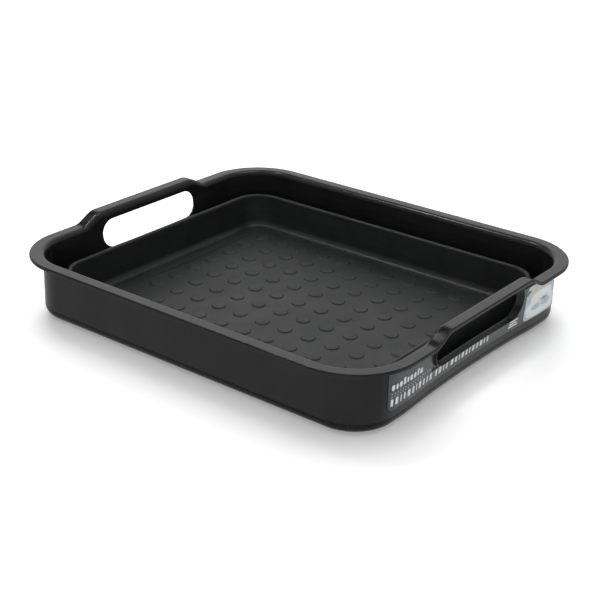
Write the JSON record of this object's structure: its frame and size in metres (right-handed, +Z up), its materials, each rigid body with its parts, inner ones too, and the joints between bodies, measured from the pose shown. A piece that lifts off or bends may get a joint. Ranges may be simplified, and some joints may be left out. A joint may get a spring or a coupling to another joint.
{
  "type": "collapsible wash basin",
  "caption": "Rectangular wash basin with a folding soft wall, a raised handle over each short side and a floor of round raised dots, folded flat.",
  "frame": {"origin": "on the table under the middle of the base", "axes": "+X along the long side, +Y along the short side, +Z up out of the basin"},
  "size_m": [0.388, 0.3306, 0.0656],
  "materials": {
    "rim_plastic": "glossy charcoal polypropylene",
    "plate_plastic": "satin charcoal polypropylene",
    "wall_rubber": "matte charcoal thermoplastic rubber",
    "floor_rubber": "matte grey thermoplastic rubber",
    "label_film": null
  },
  "bodies": {
    "base": {"floor_plate": "plate_plastic", "floor_mat": "floor_rubber", "soft_wall_inner": "wall_rubber"},
    "fold_ring": {"soft_wall_outer": "wall_rubber"},
    "rim_frame": {"rim_shell": "rim_plastic", "bottom_band": "wall_rubber", "product_label": "label_film"}
  },
  "joints": [
    {"name": "unfold", "type": "slide", "parent": "base", "child": "rim_frame", "axis": [0, 0, 1], "range_m": [0, 0.0656]},
    {"name": "wall_turnover", "type": "slide", "parent": "base", "child": "fold_ring", "axis": [0, 0, 1], "range_m": [0, 0.0328]}
  ],
  "couplings": [
    {"joint": "wall_turnover", "follows": "unfold", "ratio": 0.5}
  ]
}
